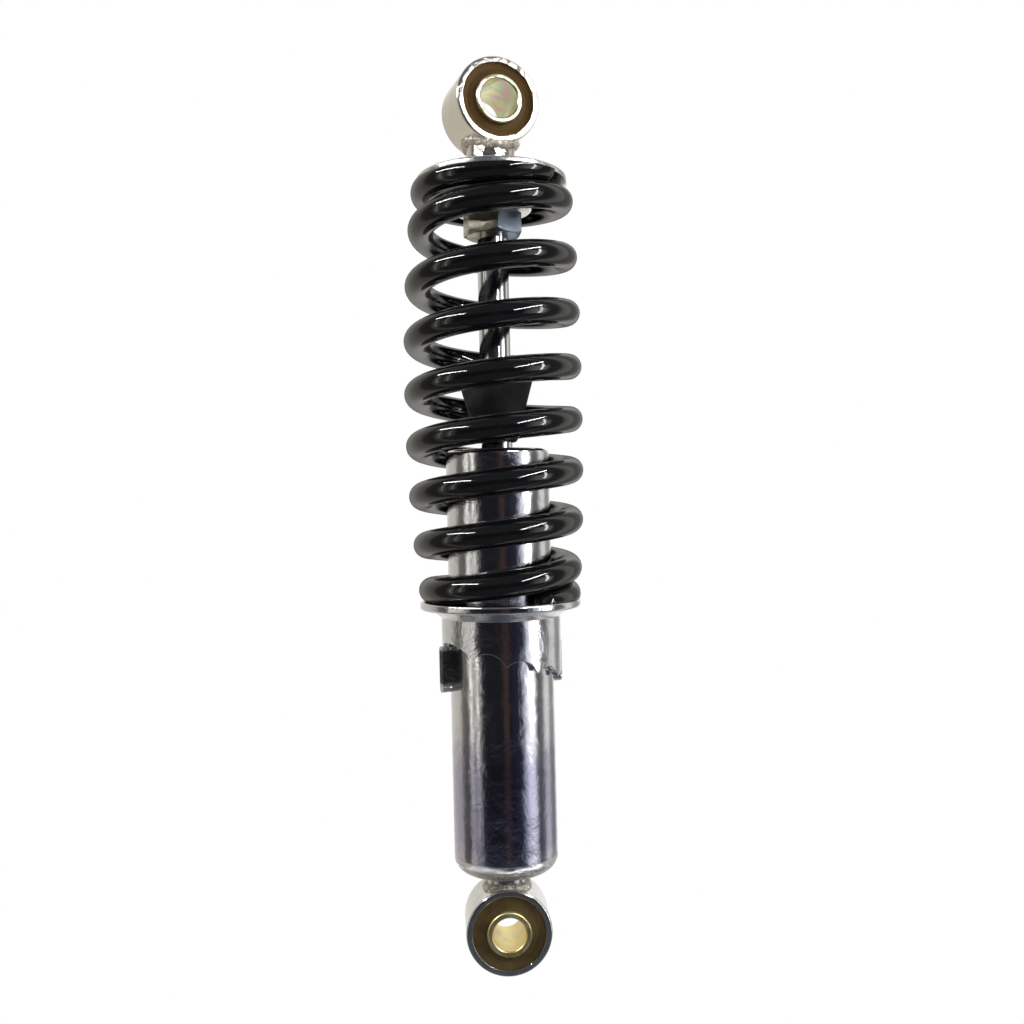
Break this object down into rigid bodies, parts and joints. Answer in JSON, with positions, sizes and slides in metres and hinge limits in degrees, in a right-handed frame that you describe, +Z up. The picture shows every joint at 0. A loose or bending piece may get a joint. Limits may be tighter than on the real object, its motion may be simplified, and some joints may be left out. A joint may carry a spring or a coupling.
{
  "type": "shock absorber",
  "caption": "Coil-over rear damper with a rubber-bushed eye at each end, an outer coil spring, a bump stop and a stepped turning preload collar.",
  "frame": {"origin": "centre of the lower eye's bore, midway along it", "axes": "+Z up the rod to the upper eye, Y along the lower eye's bore with -Y the front, +X to the right seen from the front"},
  "size_m": [0.0567, 0.0566, 0.287],
  "materials": {
    "eye_nickel": "satin nickel-chrome plate",
    "bush_rubber": "dark olive-brown moulded rubber",
    "yellow_zinc": "yellow-passivated zinc",
    "tube_chrome": "bright chrome with fine haze and scratches",
    "stop_steel": "chrome over a welded bar",
    "inner_steel": "drawn steel",
    "inner_aluminium": "die-cast and turned",
    "valve_brass": "turned",
    "seal_rubber": "nitrile",
    "cap_steel": "black-oxide",
    "rod_chrome": "ground hard chrome",
    "band_plastic": "filled sliding plastic",
    "nut_zinc": "blue-grey zinc",
    "seat_nickel": "pressed and plated steel",
    "bump_rubber": "matte black",
    "spring_black": "gloss black powder coat"
  },
  "bodies": {
    "damper_body": {"lower_eye": "eye_nickel", "lower_bush": "bush_rubber", "damper_tube": "tube_chrome", "base_cup": "tube_chrome", "preload_stops": "stop_steel", "inner_cylinder": "inner_steel", "foot_valve": "inner_aluminium", "foot_valve_disc": "inner_steel", "foot_valve_rivet": "valve_brass", "rod_guide": "inner_aluminium", "guide_bush": "valve_brass", "guide_o_ring": "seal_rubber", "oil_seal": "seal_rubber", "head_cap": "cap_steel", "spring": "spring_black"},
    "lower_sleeve_body": {"lower_sleeve": "yellow_zinc"},
    "seat_ring": {"lower_seat": "tube_chrome"},
    "collar": {"preload_collar": "tube_chrome"},
    "bump_rubber": {"bump_stop": "bump_rubber"},
    "top_plate": {"upper_seat": "seat_nickel"},
    "rod_assembly": {"piston_rod": "rod_chrome", "piston": "inner_aluminium", "piston_band": "band_plastic", "check_disc": "inner_steel", "bleed_disc": "inner_steel", "piston_nut": "nut_zinc", "rebound_stop": "seal_rubber", "lock_nut": "nut_zinc", "upper_eye": "eye_nickel", "upper_bush": "bush_rubber"},
    "upper_sleeve_body": {"upper_sleeve": "yellow_zinc"}
  },
  "joints": [
    {"name": "damper_stroke", "type": "slide", "parent": "damper_body", "child": "top_plate", "axis": [0, 0, 1], "range_m": [-0.0435, 0], "stiffness_N_per_m": 20000, "springref_m": 0.008, "deforming": ["spring"]},
    {"name": "rod_twist", "type": "hinge", "parent": "top_plate", "child": "rod_assembly", "pos_m": [0, 0, 0.26], "axis": [0, 0, 1], "continuous": true},
    {"name": "upper_bush_turn", "type": "hinge", "parent": "rod_assembly", "child": "upper_sleeve_body", "pos_m": [0, 0, 0.26], "axis": [-0.2756, 0.9613, 0], "range_deg": [-15, 15], "stiffness_Nm_per_rad": 5},
    {"name": "lower_bush_turn", "type": "hinge", "parent": "damper_body", "child": "lower_sleeve_body", "pos_m": [0, 0, 0], "axis": [0, 1, 0], "range_deg": [-15, 15], "stiffness_Nm_per_rad": 5},
    {"name": "bump_stop_slide", "type": "slide", "parent": "damper_body", "child": "bump_rubber", "axis": [0, 0, 1], "range_m": [-0.0021, 0.0435]},
    {"name": "preload_lift", "type": "slide", "parent": "damper_body", "child": "seat_ring", "axis": [0, 0, 1], "range_m": [0, 0.01214]},
    {"name": "preload_turn", "type": "hinge", "parent": "seat_ring", "child": "collar", "pos_m": [0, 0, 0.1], "axis": [0, 0, -1], "range_deg": [0, 142]}
  ],
  "couplings": [
    {"joint": "preload_turn", "follows": "preload_lift", "rad_per_m": 204.08}
  ]
}
